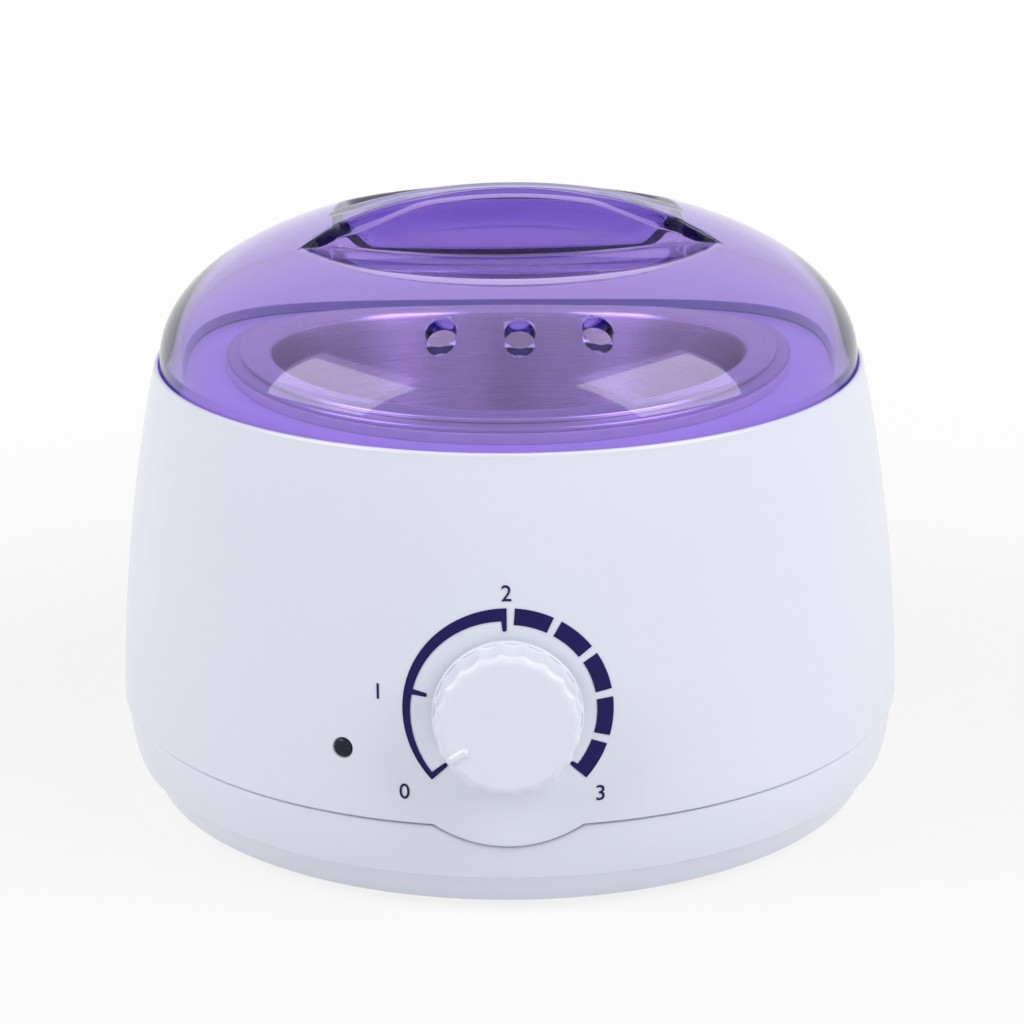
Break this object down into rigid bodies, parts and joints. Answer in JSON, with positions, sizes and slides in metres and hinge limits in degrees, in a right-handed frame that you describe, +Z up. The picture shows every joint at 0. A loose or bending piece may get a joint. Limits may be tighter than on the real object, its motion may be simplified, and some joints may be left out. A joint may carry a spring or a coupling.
{
  "type": "wax warmer",
  "caption": "Round table-top wax warmer: white two-piece case with a heated well, lift-out aluminium pot, clear violet lid with a grip bar, and a thermostat knob.",
  "frame": {"origin": "on the axis of the case, in the plane that the feet stand on", "axes": "+Z up along the axis of the case, the front with the knob faces -Y, +X to the right seen from the front"},
  "size_m": [0.1802, 0.1911, 0.1387],
  "materials": {
    "case_plastic": "glossy white with a cool tint",
    "knob_plastic": "glossy white",
    "lid_plastic": "clear violet moulded acrylic, polished",
    "pot_metal": "brushed along the rim and round the bowl",
    "well_metal": "mill finish",
    "sheet_steel": "zinc plated",
    "screw_steel": "zinc plated",
    "brass": "plain turned",
    "rubber": "matt grey-black",
    "silicone": "matt off-white silicone",
    "mica": "mica sheet over the heating wire",
    "glass_fibre": "felted glass fibre",
    "phenolic": "brown moulded resin",
    "black_plastic": "satin black",
    "ivory_plastic": "satin ivory",
    "navy_print": "dark blue screen print",
    "dark_lens": "dark blue translucent, polished",
    "bulb_glass": "clear glass, neon filling",
    "fuse_metal": "plain metal tube",
    "wire_red": "silicone insulation",
    "wire_black": "silicone insulation",
    "wire_blue": "silicone insulation",
    "wire_green": "silicone insulation"
  },
  "bodies": {
    "root": {"upper_case": "case_plastic", "base_shell": "case_plastic", "feet": "rubber", "case_screws": "screw_steel", "heated_well": "well_metal", "well_gasket": "silicone", "well_brackets": "sheet_steel", "bracket_screws": "screw_steel", "heater_band": "mica", "heater_strap": "sheet_steel", "strap_screw": "screw_steel", "insulation_wrap": "glass_fibre", "heat_shield": "sheet_steel", "shield_screws": "screw_steel", "thermal_fuse": "fuse_metal", "fuse_clip": "sheet_steel", "fuse_clip_screw": "screw_steel", "thermostat_bushing": "brass", "thermostat_nut": "brass", "thermostat_body": "phenolic", "thermostat_blades": "brass", "thermostat_plate": "sheet_steel", "plate_screws": "screw_steel", "dial_print": "navy_print", "lamp_lens": "dark_lens", "lamp_bulb": "bulb_glass", "lamp_holder": "black_plastic", "cord_inlet": "black_plastic", "inlet_nut": "black_plastic", "cord_clamp": "black_plastic", "clamp_screws": "screw_steel", "terminal_block": "ivory_plastic", "block_screw": "screw_steel", "supply_wire": "wire_red", "heater_wire": "wire_black", "fuse_wire": "wire_blue", "lamp_wire": "wire_green"},
    "pot": {"pot": "pot_metal"},
    "lid": {"lid": "lid_plastic"},
    "knob": {"knob": "knob_plastic", "thermostat_shaft": "brass"}
  },
  "joints": [
    {"name": "pot_lift", "type": "slide", "parent": "root", "child": "pot", "axis": [0, 0, 1], "range_m": [0, 0.08]},
    {"name": "lid_lift", "type": "slide", "parent": "pot", "child": "lid", "axis": [0, 0, 1], "range_m": [0, 0.06]},
    {"name": "knob_turn", "type": "hinge", "parent": "root", "child": "knob", "pos_m": [0, -0.08864, 0.047], "axis": [0, 0.996, -0.0892], "range_deg": [-12, 256]}
  ]
}
